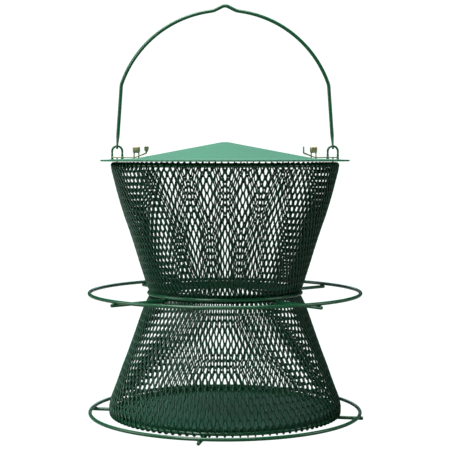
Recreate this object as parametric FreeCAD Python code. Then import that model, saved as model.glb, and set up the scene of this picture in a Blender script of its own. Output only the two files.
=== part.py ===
import FreeCAD, Part
import math
import os

# Hanging bird feeder: two tiers of wire netting shaped like an hourglass, a
# perch ring round the waist and the base, a shallow seed tray, a sheet metal
# lid with two sliding latches, and a wire bail to hang it by.
#
# Frame: millimetres, +Z up, origin on the axis at the level of the lowest
# wires, X through the two loops that hold the bail. The latches are on the
# -Y side of the loops.

# --- Wire and sheet sizes -------------------------------------------------
wire_d = 3.2                     # perch rings, spokes, hoops and bail
loop_wire_d = 2.0                # staple-shaped loops on the lid
sheet_t = 0.7                    # lid, tray and waist collar
netting_t = 0.6                  # solid that stands for the wire netting
netting_wire_d = 1.2             # its end loops go round the hoops
running_gap = 0.3                # least gap between pieces that move apart
wire_r = wire_d / 2
loop_wire_r = loop_wire_d / 2

# --- Perch rings and their spokes -----------------------------------------
perch_outer_r = 125.0
perch_r = perch_outer_r - wire_r
spoke_count = 4
spoke_end_r = perch_outer_r + 1.5
lower_spoke_start_r = 86.0
lower_spoke_azimuth = 80.0
upper_spoke_start_r = 68.0
upper_spoke_azimuth = 40.0
lower_spoke_z = wire_r
lower_perch_z = lower_spoke_z + wire_d
upper_perch_z = 113.7
upper_spoke_z = upper_perch_z - wire_d

# --- Base: tray and hoop --------------------------------------------------
tray_floor_z = lower_spoke_z + wire_r
tray_floor_r = 97.0
tray_wall_r = 99.8
tray_bend_z = 6.0
tray_rim_z = 8.4
base_hoop_r = 103.0
base_hoop_z = lower_perch_z

# --- Waist ----------------------------------------------------------------
waist_hoop_r = 69.5
waist_hoop_z = upper_perch_z
collar_outer_r = waist_hoop_r - wire_r - 2 * netting_wire_d - 0.1
collar_bottom_z = 110.0
collar_top_z = 117.6

# --- Rim hoop and netting -------------------------------------------------
rim_hoop_r = 100.7
rim_hoop_z = 229.5
lower_netting_bottom_z = base_hoop_z + wire_r + running_gap
lower_netting_top_z = upper_spoke_z - wire_r - 2 * running_gap
lower_netting_bottom_r = 105.6
lower_netting_top_r = 71.4
upper_netting_bottom_z = waist_hoop_z + wire_r + running_gap
upper_netting_top_z = rim_hoop_z - wire_r - running_gap
upper_netting_bottom_r = 71.4
upper_netting_top_r = 103.6

# --- Lid ------------------------------------------------------------------
lid_r = 113.0
lid_bottom_z = 235.0
lid_top_z = lid_bottom_z + sheet_t
cone_r = 81.0
cone_top_z = 251.0
hem_width = 2.4
hem_t = 1.5
flange_drop = 1.2                # from the foot of the cone to the hem

# --- Loops for the bail ---------------------------------------------------
loop_x = 98.0
loop_leg_spacing = 9.2
loop_top_z = 246.8               # centre line of the wire at the arch
rivet_head_r = 1.8
rivet_head_t = 0.6
loop_hole_gap = 0.15

# --- Bail -----------------------------------------------------------------
bail_top_z = 375.0
bail_arc_r = 99.4
bail_arc_z = 270.0               # centre height of the big arc
bail_arc_start = 20.0            # degrees above the horizontal
bail_arc_end = 82.5
bail_kink_x = 94.0
bail_kink_z = 302.3
bail_kink_r = 12.0
bail_shoulder_x = 10.4
bail_shoulder_r = 15.0
bail_peak_r = 6.0
bail_flat_z = 258.0              # the round wire starts to flatten here
bail_eye_t = 1.8
bail_eye_r = 2.7
bail_eye_hole_r = 1.45

# --- Latches and keepers --------------------------------------------------
latch_y = -6.2
latch_t = 1.0
latch_width = 7.0
latch_gap = 0.35                 # between the strip and the lid
latch_outer_x = 102.0
latch_bend_x = 81.2
latch_tab_x = 70.6
latch_tab_rise = 4.0
latch_tab_height = 6.4
latch_travel = 12.0
latch_rise_deg = 12.0            # slides up the cone at a little over its slope
slot_width = 3.6
slot_inner_x = 76.6
slot_outer_x = 96.9
step_width = 3.4
step_outer_x = 98.1
tongue_gap = 3.2                 # below the rim hoop
tongue_tip_x = 99.9
keeper_outer_x = 83.3
keeper_width = 6.4
keeper_height = 5.8
keeper_bottom_z = lid_top_z + 4.9
keeper_leg_t = 1.0
keeper_leg_width = 2.6
keeper_clinch = 1.4
lid_slot_gap = 0.5

up = FreeCAD.Vector(0, 0, 1)


def vec(x, y, z):
    return FreeCAD.Vector(x, y, z)


def torus(ring_r, section_r, z):
    """A closed ring of round wire about the feeder's axis."""
    return Part.makeTorus(ring_r, section_r, vec(0, 0, z), up)


def revolve(points):
    """Turn a closed outline of (radius, z) points about the feeder's axis."""
    corners = [vec(r, 0, z) for r, z in points]
    outline = Part.makePolygon(corners + corners[:1])
    return Part.Face(outline).revolve(vec(0, 0, 0), up, 360)


def box(x_range, y_range, z_range):
    """A box between two limits on each axis."""
    size = [high - low for low, high in (x_range, y_range, z_range)]
    return Part.makeBox(*size, vec(x_range[0], y_range[0], z_range[0]))


def extrude_y(points, width, y_mid):
    """Extrude a closed outline of (x, z) points along Y, centred on y_mid."""
    corners = [vec(x, y_mid - width / 2, z) for x, z in points]
    outline = Part.makePolygon(corners + corners[:1])
    return Part.Face(outline).extrude(vec(0, width, 0))


def mirrored(shape):
    """The same piece on the other side of the feeder."""
    return shape.mirror(vec(0, 0, 0), vec(1, 0, 0))


def rounded_path(points, radii):
    """Straight runs through the points, joined by tangent arcs."""
    edges = []
    start = points[0]
    for before, corner, after, radius in zip(points, points[1:], points[2:], radii):
        away = (before - corner).normalize()
        onward = (after - corner).normalize()
        half_angle = away.getAngle(onward) / 2
        reach = radius / math.tan(half_angle)
        middle = (away + onward).normalize()
        centre = corner + middle * (radius / math.sin(half_angle))
        arc_start = corner + away * reach
        arc_middle = centre - middle * radius
        arc_end = corner + onward * reach
        if (arc_start - start).Length > 1e-3:
            edges.append(Part.LineSegment(start, arc_start).toShape())
        edges.append(Part.Arc(arc_start, arc_middle, arc_end).toShape())
        start = arc_end
    edges.append(Part.LineSegment(start, points[-1]).toShape())
    return Part.Wire(edges)


def sweep_wire(path, section_r):
    """Round wire along a path."""
    first = path.Edges[0]
    start = first.valueAt(first.FirstParameter)
    along = first.tangentAt(first.FirstParameter)
    section = Part.Wire(Part.makeCircle(section_r, start, along))
    return path.makePipeShell([section], True, False)


def spoke(start_r, azimuth, z):
    """A straight radial wire under a perch ring."""
    angle = math.radians(azimuth)
    along = vec(math.cos(angle), math.sin(angle), 0)
    start = along * start_r + vec(0, 0, z)
    return Part.makeCylinder(wire_r, spoke_end_r - start_r, start, along)


def netting(bottom_r, bottom_z, top_r, top_z):
    """An open band that stands for one tier of netting."""
    return revolve([
        (bottom_r - netting_t, bottom_z),
        (bottom_r, bottom_z),
        (top_r, top_z),
        (top_r - netting_t, top_z),
    ])


def make_tray():
    floor_top = tray_floor_z + sheet_t
    return revolve([
        (0, tray_floor_z),
        (tray_floor_r, tray_floor_z),
        (tray_wall_r, tray_bend_z),
        (tray_wall_r, tray_rim_z),
        (tray_wall_r - sheet_t, tray_rim_z),
        (tray_wall_r - sheet_t, tray_bend_z + sheet_t / 2),
        (tray_floor_r - sheet_t / 2, floor_top),
        (0, floor_top),
    ])


def make_collar():
    height = collar_top_z - collar_bottom_z
    outside = Part.makeCylinder(collar_outer_r, height, vec(0, 0, collar_bottom_z))
    inside = Part.makeCylinder(collar_outer_r - sheet_t, height, vec(0, 0, collar_bottom_z))
    return outside.cut(inside)


def flange_bottom_z(r):
    """Height of the underside of the lid's flange at a radius."""
    return lid_bottom_z - flange_drop * (r - cone_r) / (lid_r - hem_width - cone_r)


def make_lid():
    """Shallow cone in a flange that droops to a hemmed edge, slotted for the latches."""
    hem_inner_r = lid_r - hem_width
    hem_inner_z = flange_bottom_z(hem_inner_r)
    hem_top_z = hem_inner_z + sheet_t
    lid = revolve([
        (0, cone_top_z - sheet_t),
        (cone_r, lid_bottom_z),
        (hem_inner_r, hem_inner_z),
        (hem_inner_r, hem_top_z - hem_t),
        (lid_r, hem_top_z - hem_t),
        (lid_r, hem_top_z),
        (hem_inner_r, hem_top_z),
        (cone_r, lid_top_z),
        (0, cone_top_z),
    ])
    slot_reach = latch_travel * math.cos(math.radians(latch_rise_deg))
    below = lid_bottom_z - 2
    step_slot = box(
        (slot_outer_x - slot_reach - lid_slot_gap, step_outer_x + lid_slot_gap),
        (latch_y - step_width / 2 - lid_slot_gap, latch_y + step_width / 2 + lid_slot_gap),
        (below, lid_top_z + 4),
    )
    cuts = [step_slot]
    for x in (loop_x - loop_leg_spacing / 2, loop_x + loop_leg_spacing / 2):
        cuts.append(Part.makeCylinder(loop_wire_r + loop_hole_gap, 4, vec(x, 0, below)))
    cuts.extend(keeper_legs(below, lid_top_z + 2, loop_hole_gap))
    for cut in cuts:
        lid = lid.cut(cut).cut(mirrored(cut))
    return lid


def make_loop():
    """Upside-down U of wire through the lid, with peened ends under it."""
    half = loop_leg_spacing / 2
    foot_z = flange_bottom_z(loop_x + half + rivet_head_r) - rivet_head_t / 6
    spring_z = loop_top_z - half
    left = vec(loop_x - half, 0, foot_z)
    right = vec(loop_x + half, 0, foot_z)
    left_spring = vec(loop_x - half, 0, spring_z)
    right_spring = vec(loop_x + half, 0, spring_z)
    path = Part.Wire([
        Part.LineSegment(left, left_spring).toShape(),
        Part.Arc(left_spring, vec(loop_x, 0, loop_top_z), right_spring).toShape(),
        Part.LineSegment(right_spring, right).toShape(),
    ])
    loop = sweep_wire(path, loop_wire_r)
    for x in (loop_x - half, loop_x + half):
        head_z = flange_bottom_z(x + rivet_head_r) - rivet_head_t
        head = Part.makeCylinder(rivet_head_r, rivet_head_t, vec(x, 0, head_z))
        loop = loop.fuse(head)
    return loop.removeSplitter()


def keeper_legs(bottom_z, top_z, clearance):
    """The two upright legs of a keeper, grown by a clearance."""
    inner_x = keeper_outer_x - keeper_width
    legs = []
    for x in (inner_x + 0.6, keeper_outer_x - 0.6 - keeper_leg_t):
        legs.append(box(
            (x - clearance, x + keeper_leg_t + clearance),
            (latch_y - keeper_leg_width / 2 - clearance, latch_y + keeper_leg_width / 2 + clearance),
            (bottom_z, top_z),
        ))
    return legs


def make_keeper():
    """Block on two legs that straddle the latch's bars, clinched below the lid."""
    inner_x = keeper_outer_x - keeper_width
    clinch_z = lid_bottom_z - keeper_leg_t
    keeper = box(
        (inner_x, keeper_outer_x),
        (latch_y - latch_width / 2, latch_y + latch_width / 2),
        (keeper_bottom_z, keeper_bottom_z + keeper_height),
    )
    edges = [edge for edge in keeper.Edges if edge.BoundBox.ZMin > keeper_bottom_z + 1]
    keeper = keeper.makeChamfer(0.8, edges)
    inner_leg, outer_leg = keeper_legs(clinch_z, keeper_bottom_z, 0)
    leg_y = (latch_y - keeper_leg_width / 2, latch_y + keeper_leg_width / 2)
    clinch = (clinch_z - 0.001, lid_bottom_z - 0.05)
    inner_foot = box(
        (inner_leg.BoundBox.XMax - 0.01, inner_leg.BoundBox.XMax + keeper_clinch), leg_y, clinch,
    )
    outer_foot = box(
        (outer_leg.BoundBox.XMin - keeper_clinch, outer_leg.BoundBox.XMin + 0.01), leg_y, clinch,
    )
    return keeper.fuse([inner_leg, outer_leg, inner_foot, outer_foot]).removeSplitter()


def make_latch():
    """Slotted strip with a finger tab, and a hooked step that reaches under the rim hoop."""
    bottom = lid_top_z + latch_gap
    top = bottom + latch_t
    tab_bottom = bottom + latch_tab_rise
    strip = extrude_y([
        (latch_outer_x, bottom),
        (latch_outer_x, top),
        (latch_bend_x - 0.2, top),
        (latch_tab_x + latch_t, tab_bottom + latch_t),
        (latch_tab_x + latch_t, tab_bottom + latch_tab_height),
        (latch_tab_x, tab_bottom + latch_tab_height),
        (latch_tab_x, tab_bottom),
        (latch_bend_x, bottom),
    ], latch_width, latch_y)
    slot = box(
        (slot_inner_x, slot_outer_x),
        (latch_y - slot_width / 2, latch_y + slot_width / 2),
        (bottom - 1, tab_bottom + 1),
    )
    tongue_top = rim_hoop_z - wire_r - tongue_gap
    step = box(
        (step_outer_x - latch_t, step_outer_x),
        (latch_y - step_width / 2, latch_y + step_width / 2),
        (tongue_top - latch_t, top),
    )
    tongue = box(
        (step_outer_x - latch_t, tongue_tip_x),
        (latch_y - step_width / 2, latch_y + step_width / 2),
        (tongue_top - latch_t, tongue_top),
    )
    return strip.cut(slot).fuse([step, tongue]).removeSplitter()


def bail_peak_z():
    """Corner height that puts the top of the rounded peak at bail_top_z."""
    shoulder_z = bail_shoulder_z()
    wire_top = bail_top_z - wire_r
    rise = wire_top - shoulder_z
    for _ in range(30):
        slope = math.atan2(rise, bail_shoulder_x)
        rise = wire_top - shoulder_z + bail_peak_r * (1 / math.cos(slope) - 1)
    return shoulder_z + rise


def bail_shoulder_z():
    """Height of the shoulder corner, on the tangent at the end of the big arc."""
    angle = math.radians(bail_arc_end)
    x = bail_arc_r * math.cos(angle)
    z = bail_arc_z + bail_arc_r * math.sin(angle)
    return z + (x - bail_shoulder_x) / math.tan(angle)


def make_bail():
    """Round wire with a small peak, flattened and pierced at both ends."""
    start = math.radians(bail_arc_start)
    end = math.radians(bail_arc_end)
    half_turn = (end - start) / 2
    corner_r = bail_arc_r / math.cos(half_turn)
    corner_angle = start + half_turn
    corner_x = corner_r * math.cos(corner_angle)
    corner_z = bail_arc_z + corner_r * math.sin(corner_angle)
    half_points = [
        (loop_x, loop_top_z),
        (bail_kink_x, bail_kink_z),
        (corner_x, corner_z),
        (bail_shoulder_x, bail_shoulder_z()),
    ]
    leg = vec(bail_kink_x - loop_x, 0, bail_kink_z - loop_top_z).normalize()
    flat_start = vec(loop_x, 0, loop_top_z) + leg * ((bail_flat_z - loop_top_z) / leg.z)
    right = [flat_start] + [vec(x, 0, z) for x, z in half_points[1:]]
    left = [vec(-point.x, 0, point.z) for point in reversed(right)]
    radii = [bail_kink_r, bail_arc_r, bail_shoulder_r]
    path = rounded_path(right + [vec(0, 0, bail_peak_z())] + left, radii + [bail_peak_r] + radii[::-1])
    bail = sweep_wire(path, wire_r)
    end_piece = make_bail_end(leg, flat_start)
    return bail.fuse([end_piece, mirrored(end_piece)]).removeSplitter()


def make_bail_end(leg, flat_start):
    """The wire flattened to a pierced eye, on the +X side."""
    eye_centre = vec(loop_x, 0, loop_top_z)
    flat_end = eye_centre + leg * (bail_eye_r + 1.2)
    across = vec(leg.z, 0, -leg.x)
    side = vec(0, 1, 0)
    circle = Part.Wire(Part.makeCircle(wire_r, flat_start, leg))
    half_t = bail_eye_t / 2
    half_w = bail_eye_r * 0.86
    corners = [
        flat_end + across * half_t + side * half_w,
        flat_end - across * half_t + side * half_w,
        flat_end - across * half_t - side * half_w,
        flat_end + across * half_t - side * half_w,
    ]
    flat = Part.makePolygon(corners + corners[:1])
    taper = Part.makeLoft([circle, flat], True, True)
    neck = Part.Face(flat).extrude(eye_centre - flat_end)
    eye = Part.makeCylinder(bail_eye_r, bail_eye_t, eye_centre - across * half_t, across)
    hole = Part.makeCylinder(bail_eye_hole_r, 10, eye_centre - vec(5, 0, 0), vec(1, 0, 0))
    return taper.fuse([neck, eye]).cut(hole).removeSplitter()


def build():
    """Make every piece, by name."""
    loop = make_loop()
    keeper = make_keeper()
    latch = make_latch()
    pieces = {
        "base_tray": make_tray(),
        "base_hoop": torus(base_hoop_r, wire_r, base_hoop_z),
        "lower_perch_ring": torus(perch_r, wire_r, lower_perch_z),
        "lower_netting": netting(
            lower_netting_bottom_r, lower_netting_bottom_z, lower_netting_top_r, lower_netting_top_z,
        ),
        "waist_hoop": torus(waist_hoop_r, wire_r, waist_hoop_z),
        "waist_collar": make_collar(),
        "upper_perch_ring": torus(perch_r, wire_r, upper_perch_z),
        "upper_netting": netting(
            upper_netting_bottom_r, upper_netting_bottom_z, upper_netting_top_r, upper_netting_top_z,
        ),
        "rim_hoop": torus(rim_hoop_r, wire_r, rim_hoop_z),
        "lid": make_lid(),
        "loop_right": loop,
        "loop_left": mirrored(loop),
        "keeper_right": keeper,
        "keeper_left": mirrored(keeper),
        "latch_right": latch,
        "latch_left": mirrored(latch),
        "bail": make_bail(),
    }
    for number in range(spoke_count):
        turn = number * 360 / spoke_count
        pieces[f"lower_spoke_{number + 1}"] = spoke(
            lower_spoke_start_r, lower_spoke_azimuth + turn, lower_spoke_z,
        )
        pieces[f"upper_spoke_{number + 1}"] = spoke(
            upper_spoke_start_r, upper_spoke_azimuth + turn, upper_spoke_z,
        )
    return pieces


os.makedirs("parts", exist_ok=True)
for name, shape in build().items():
    shape.exportStep(f"parts/{name}.step")
    print(f"{name}: solids {len(shape.Solids)}, valid {shape.isValid()}, volume {shape.Volume:.1f} mm3")
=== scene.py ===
"""A collapsible hanging bird feeder: enamelled wire netting, perch rings, a sheet lid and a wire bail."""

import logging
import math
from dataclasses import dataclass, field
from enum import Enum
from typing import Iterable, Sequence

import bpy
from mathutils import Matrix, Vector


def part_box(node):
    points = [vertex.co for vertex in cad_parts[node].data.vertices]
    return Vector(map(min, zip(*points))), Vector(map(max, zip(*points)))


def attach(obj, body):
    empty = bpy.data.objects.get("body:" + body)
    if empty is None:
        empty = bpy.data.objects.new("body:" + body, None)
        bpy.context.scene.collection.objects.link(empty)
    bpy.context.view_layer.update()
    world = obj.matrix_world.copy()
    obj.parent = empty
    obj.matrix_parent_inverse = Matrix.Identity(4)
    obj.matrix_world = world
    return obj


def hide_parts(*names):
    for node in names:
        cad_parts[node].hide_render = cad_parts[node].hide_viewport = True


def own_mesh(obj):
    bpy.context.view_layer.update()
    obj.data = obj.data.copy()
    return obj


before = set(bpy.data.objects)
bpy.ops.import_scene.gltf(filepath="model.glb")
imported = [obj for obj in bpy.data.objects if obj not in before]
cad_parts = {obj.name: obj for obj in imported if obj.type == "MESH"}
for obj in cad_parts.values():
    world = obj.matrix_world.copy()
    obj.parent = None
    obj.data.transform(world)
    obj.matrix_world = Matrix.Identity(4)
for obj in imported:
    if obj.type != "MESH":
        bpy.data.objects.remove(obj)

logging.basicConfig(level=logging.INFO, format="%(name)s: %(message)s")
log = logging.getLogger("feeder")

MM = 0.001

Outline = Sequence[tuple[float, float]]


class Body(Enum):
    """The moving bodies of the feeder."""

    BASE = "base"
    WAIST = "waist"
    RIM = "rim"
    COVER = "cover"
    LATCH_RIGHT = "latch_r"
    LATCH_LEFT = "latch_l"
    HANDLE = "handle"


class Slot(Enum):
    """The finishes that the record names."""

    WIRE = "green_wire"
    SHEET = "green_sheet"
    NETTING = "green_netting"
    ZINC = "zinc"


class Side(Enum):
    """Right is +X, and left is its mirror image."""

    RIGHT = 1
    LEFT = -1


# --- Colour and node helpers ------------------------------------------------


def linear_colour(code: str) -> tuple[float, float, float, float]:
    """Turn an sRGB hex colour into linear light.

    Args:
        code: The colour as six hex digits, such as "1d6b41".

    Returns:
        Red, green, blue and an alpha of 1.
    """
    channels = [int(code[i:i + 2], 16) / 255 for i in (0, 2, 4)]
    linear = [c / 12.92 if c <= 0.04045 else ((c + 0.055) / 1.055) ** 2.4 for c in channels]
    return (*linear, 1.0)


def add_node(tree: bpy.types.NodeTree, kind: str, settings: dict | None = None,
             values: dict | None = None, links: dict | None = None) -> bpy.types.Node:
    """Add one node, set it and link its inputs.

    Args:
        tree: The node tree to add to.
        kind: The node's type, such as "ShaderNodeTexNoise".
        settings: Attributes of the node.
        values: Input values by name or number.
        links: Output sockets to link from, by input name or number.

    Returns:
        The new node.
    """
    node = tree.nodes.new(kind)
    for name, value in (settings or {}).items():
        setattr(node, name, value)
    for name, value in (values or {}).items():
        node.inputs[name].default_value = value
    for name, socket in (links or {}).items():
        tree.links.new(socket, node.inputs[name])
    return node


# --- Finishes ---------------------------------------------------------------


@dataclass(frozen=True)
class Enamel:
    """Baked green enamel over steel: an even coat that pools a little, with a painted highlight of lighter
    teal on its convex edges.

    The coat is glossy, so it mirrors the room at a low angle. Close up it has a fine orange peel,
    and its green drifts a little lighter and darker where the coat is thick or thin.
    """

    name: str
    deep: str
    fresh: str
    # Painted highlight: a lighter colour mixed in on convex edges.
    edge_highlight: str
    roughness: float = 0.3
    coat: float = 0.5
    drift_mm: float = 14.0
    peel_mm: float = 0.9
    peel_depth_mm: float = 0.02

    def build(self) -> bpy.types.Material:
        """Make the enamel as a material.

        Returns:
            The material, with its colour, roughness and orange peel from nodes.
        """
        material = bpy.data.materials.new(self.name)
        material.use_nodes = True
        tree = material.node_tree
        tree.nodes.clear()
        place = add_node(tree, "ShaderNodeTexCoord").outputs["Object"]
        drift = add_node(tree, "ShaderNodeTexNoise",
                         values={"Scale": 1 / (self.drift_mm * MM), "Detail": 3.0},
                         links={"Vector": place})
        tone = add_node(tree, "ShaderNodeMix", settings={"data_type": "RGBA"},
                        values={6: linear_colour(self.deep), 7: linear_colour(self.fresh)},
                        links={0: drift.outputs["Fac"]})
        # Painted highlight: convex edges, found by pointiness, are mixed towards the lighter edge colour.
        edge = add_node(tree, "ShaderNodeNewGeometry").outputs["Pointiness"]
        highlight_mask = add_node(tree, "ShaderNodeMapRange",
                       values={"From Min": 0.52, "From Max": 0.62, "To Max": 0.6},
                       links={"Value": edge})
        colour = add_node(tree, "ShaderNodeMix", settings={"data_type": "RGBA"},
                          values={7: linear_colour(self.edge_highlight)},
                          links={0: highlight_mask.outputs["Result"], 6: tone.outputs[2]})
        gloss = add_node(tree, "ShaderNodeMapRange",
                         values={"To Min": self.roughness - 0.05, "To Max": self.roughness + 0.09},
                         links={"Value": drift.outputs["Fac"]})
        peel = add_node(tree, "ShaderNodeTexNoise",
                        values={"Scale": 1 / (self.peel_mm * MM), "Detail": 2.0},
                        links={"Vector": place})
        bump = add_node(tree, "ShaderNodeBump",
                        values={"Strength": 0.35, "Distance": self.peel_depth_mm * MM},
                        links={"Height": peel.outputs["Fac"]})
        surface = add_node(tree, "ShaderNodeBsdfPrincipled",
                           values={"Metallic": 0.0, "IOR": 1.52, "Coat Weight": self.coat,
                                   "Coat Roughness": 0.12},
                           links={"Base Color": colour.outputs[2], "Roughness": gloss.outputs["Result"],
                                  "Normal": bump.outputs["Normal"]})
        add_node(tree, "ShaderNodeOutputMaterial", links={"Surface": surface.outputs["BSDF"]})
        return material


@dataclass(frozen=True)
class PassivatedZinc:
    """Zinc plate with a yellow chromate dip: a bright metal with a straw and olive cast in soft clouds."""

    name: str = "yellow_passivated_zinc"
    straw: str = "d6cba6"
    olive: str = "8f9273"
    cloud_mm: float = 3.5
    grain_mm: float = 0.35

    def build(self) -> bpy.types.Material:
        """Make the plating as a material.

        Returns:
            The material, with clouded colour and a fine rolled grain.
        """
        material = bpy.data.materials.new(self.name)
        material.use_nodes = True
        tree = material.node_tree
        tree.nodes.clear()
        place = add_node(tree, "ShaderNodeTexCoord").outputs["Object"]
        cloud = add_node(tree, "ShaderNodeTexNoise",
                         values={"Scale": 1 / (self.cloud_mm * MM), "Detail": 4.0},
                         links={"Vector": place})
        spread = add_node(tree, "ShaderNodeMapRange", values={"From Min": 0.35, "From Max": 0.65},
                          links={"Value": cloud.outputs["Fac"]})
        colour = add_node(tree, "ShaderNodeMix", settings={"data_type": "RGBA"},
                          values={6: linear_colour(self.olive), 7: linear_colour(self.straw)},
                          links={0: spread.outputs["Result"]})
        stretched = add_node(tree, "ShaderNodeMapping", values={"Scale": (0.12, 1.0, 1.0)},
                             links={"Vector": place})
        grain = add_node(tree, "ShaderNodeTexNoise",
                         values={"Scale": 1 / (self.grain_mm * MM), "Detail": 2.0},
                         links={"Vector": stretched.outputs["Vector"]})
        gloss = add_node(tree, "ShaderNodeMapRange", values={"To Min": 0.36, "To Max": 0.56},
                         links={"Value": grain.outputs["Fac"]})
        bump = add_node(tree, "ShaderNodeBump", values={"Strength": 0.25, "Distance": 0.01 * MM},
                        links={"Height": grain.outputs["Fac"]})
        surface = add_node(tree, "ShaderNodeBsdfPrincipled", values={"Metallic": 1.0},
                           links={"Base Color": colour.outputs[2], "Roughness": gloss.outputs["Result"],
                                  "Normal": bump.outputs["Normal"]})
        add_node(tree, "ShaderNodeOutputMaterial", links={"Surface": surface.outputs["BSDF"]})
        return material


class Finishes:
    """Every finish on the feeder, made once and shared."""

    def __init__(self) -> None:
        """Make the materials, one for each slot."""
        # The third colour of each enamel is its painted edge highlight.
        self.by_slot: dict[Slot, bpy.types.Material] = {
            Slot.WIRE: Enamel("gloss_green_wire_enamel", "0e4d2c", "155d38", "2f7d56",
                              roughness=0.2, coat=0.3, drift_mm=40.0).build(),
            Slot.SHEET: Enamel("green_sheet_enamel", "1b6643", "257853", "3f8669",
                               roughness=0.6, coat=0.0, drift_mm=38.0, peel_mm=1.4).build(),
            Slot.NETTING: Enamel("dark_green_netting_enamel", "05291a", "0f5538", "0d4a31",
                                 roughness=0.28, coat=0.0, drift_mm=7.0).build(),
            Slot.ZINC: PassivatedZinc().build(),
        }

    def dress(self, piece: bpy.types.Object, slot: Slot) -> None:
        """Give a piece the finish of its slot.

        Args:
            piece: The piece to dress.
            slot: The record's slot.
        """
        piece.data.materials.clear()
        piece.data.materials.append(self.by_slot[slot])


# --- Modelling helpers ------------------------------------------------------


def deselect_all() -> None:
    """Leave edit mode and select nothing."""
    if bpy.context.object and bpy.context.object.mode != "OBJECT":
        bpy.ops.object.mode_set(mode="OBJECT")
    bpy.ops.object.select_all(action="DESELECT")


def activate(piece: bpy.types.Object) -> None:
    """Select one piece alone and make it active.

    Args:
        piece: The piece to select.
    """
    deselect_all()
    piece.select_set(True)
    bpy.context.view_layer.objects.active = piece


def join(pieces: Sequence[bpy.types.Object], name: str) -> bpy.types.Object:
    """Join pieces into one mesh.

    Args:
        pieces: The meshes to join.
        name: The joined piece's name.

    Returns:
        The joined piece.
    """
    activate(pieces[0])
    for piece in pieces:
        piece.select_set(True)
    bpy.ops.object.join()
    pieces[0].name = name
    return pieces[0]


def apply_place(piece: bpy.types.Object) -> None:
    """Put a piece's place, turn and size into its mesh."""
    activate(piece)
    bpy.ops.object.transform_apply(location=True, rotation=True, scale=True)


def apply_modifiers(piece: bpy.types.Object) -> None:
    """Apply every modifier of a piece, first to last.

    Args:
        piece: The piece that has the modifiers.
    """
    activate(piece)
    for modifier in list(piece.modifiers):
        bpy.ops.object.modifier_apply(modifier=modifier.name)


def smooth(piece: bpy.types.Object, degrees: float = 35.0) -> None:
    """Shade a piece smooth, but keep edges sharper than an angle."""
    activate(piece)
    bpy.ops.object.shade_smooth_by_angle(angle=math.radians(degrees))


def arc_points(centre: tuple[float, float], radius: float, start: float, end: float,
               steps: int) -> list[tuple[float, float]]:
    """Points along an arc in a plane.

    Args:
        centre: The arc's centre.
        radius: Its radius.
        start: The first angle, in degrees.
        end: The last angle, in degrees.
        steps: How many runs the arc has.

    Returns:
        The points, both ends included.
    """
    turns = [math.radians(start + (end - start) * i / steps) for i in range(steps + 1)]
    return [(centre[0] + radius * math.cos(t), centre[1] + radius * math.sin(t)) for t in turns]


def round_corners(points: Outline, radii: Sequence[float], steps: int = 6,
                  closed: bool = False) -> list[tuple[float, float]]:
    """Replace the corners of a line of straight runs with tangent arcs.

    Args:
        points: The corners. An open line keeps its first and last points.
        radii: One radius for each corner, 0 for a sharp one; for an open line, the inner corners.
        steps: How many runs each arc has.
        closed: Whether the line closes on itself.

    Returns:
        The rounded line.
    """
    corners = [Vector(p) for p in points]
    count = len(corners)
    if closed:
        triples = [(corners[i - 1], corners[i], corners[(i + 1) % count]) for i in range(count)]
    else:
        triples = list(zip(corners, corners[1:], corners[2:]))
    rounded: list[tuple[float, float]] = [] if closed else [tuple(corners[0])]
    for (before, corner, after), radius in zip(triples, radii):
        if radius <= 0:
            rounded.append(tuple(corner))
            continue
        away, onward = (before - corner).normalized(), (after - corner).normalized()
        half = away.angle(onward) / 2
        centre = corner + (away + onward).normalized() * (radius / math.sin(half))
        first = corner + away * (radius / math.tan(half)) - centre
        last = corner + onward * (radius / math.tan(half)) - centre
        sweep = first.angle_signed(last)
        for i in range(steps + 1):
            spoke = first.copy()
            spoke.rotate(Matrix.Rotation(-sweep * i / steps, 2))
            rounded.append(tuple(centre + spoke))
    if not closed:
        rounded.append(tuple(corners[-1]))
    return rounded


def draw_line(name: str, points: Sequence[Vector], closed: bool) -> bpy.types.Object:
    """Draw a line of edges by extruding one vertex from point to point.

    Args:
        name: The new mesh's name.
        points: The points of the line.
        closed: Whether to join the last point to the first.

    Returns:
        The mesh, left in edit mode with everything selected.
    """
    deselect_all()
    bpy.ops.mesh.primitive_plane_add(size=MM, location=points[0])
    line = bpy.context.object
    line.name = name
    apply_place(line)
    bpy.ops.object.mode_set(mode="EDIT")
    bpy.ops.mesh.select_all(action="SELECT")
    bpy.ops.mesh.merge(type="CENTER")
    for start, end in zip(points, points[1:]):
        bpy.ops.mesh.extrude_region_move(TRANSFORM_OT_translate={"value": Vector(end) - Vector(start)})
    bpy.ops.mesh.select_all(action="SELECT")
    if closed:
        bpy.ops.mesh.extrude_region_move()
        bpy.ops.object.mode_set(mode="OBJECT")
    return line


def spin_outline(name: str, outline: Outline, steps: int = 144) -> bpy.types.Object:
    """Turn a closed outline of (radius, height) about the feeder's axis.

    Args:
        name: The new piece's name.
        outline: The corners of the section, in metres.
        steps: How many runs the turn has.

    Returns:
        The turned piece, closed, with its faces outwards.
    """
    points = [Vector((r, 0.0, z)) for r, z in outline]
    piece = draw_line(name, points + points[:1], closed=False)
    bpy.ops.mesh.remove_doubles(threshold=0.002 * MM)
    bpy.ops.mesh.select_all(action="SELECT")
    bpy.ops.mesh.spin(steps=steps, angle=math.tau, center=(0, 0, 0), axis=(0, 0, 1))
    bpy.ops.mesh.select_all(action="SELECT")
    bpy.ops.mesh.remove_doubles(threshold=0.004 * MM)
    bpy.ops.mesh.normals_make_consistent(inside=False)
    bpy.ops.object.mode_set(mode="OBJECT")
    return piece


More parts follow.
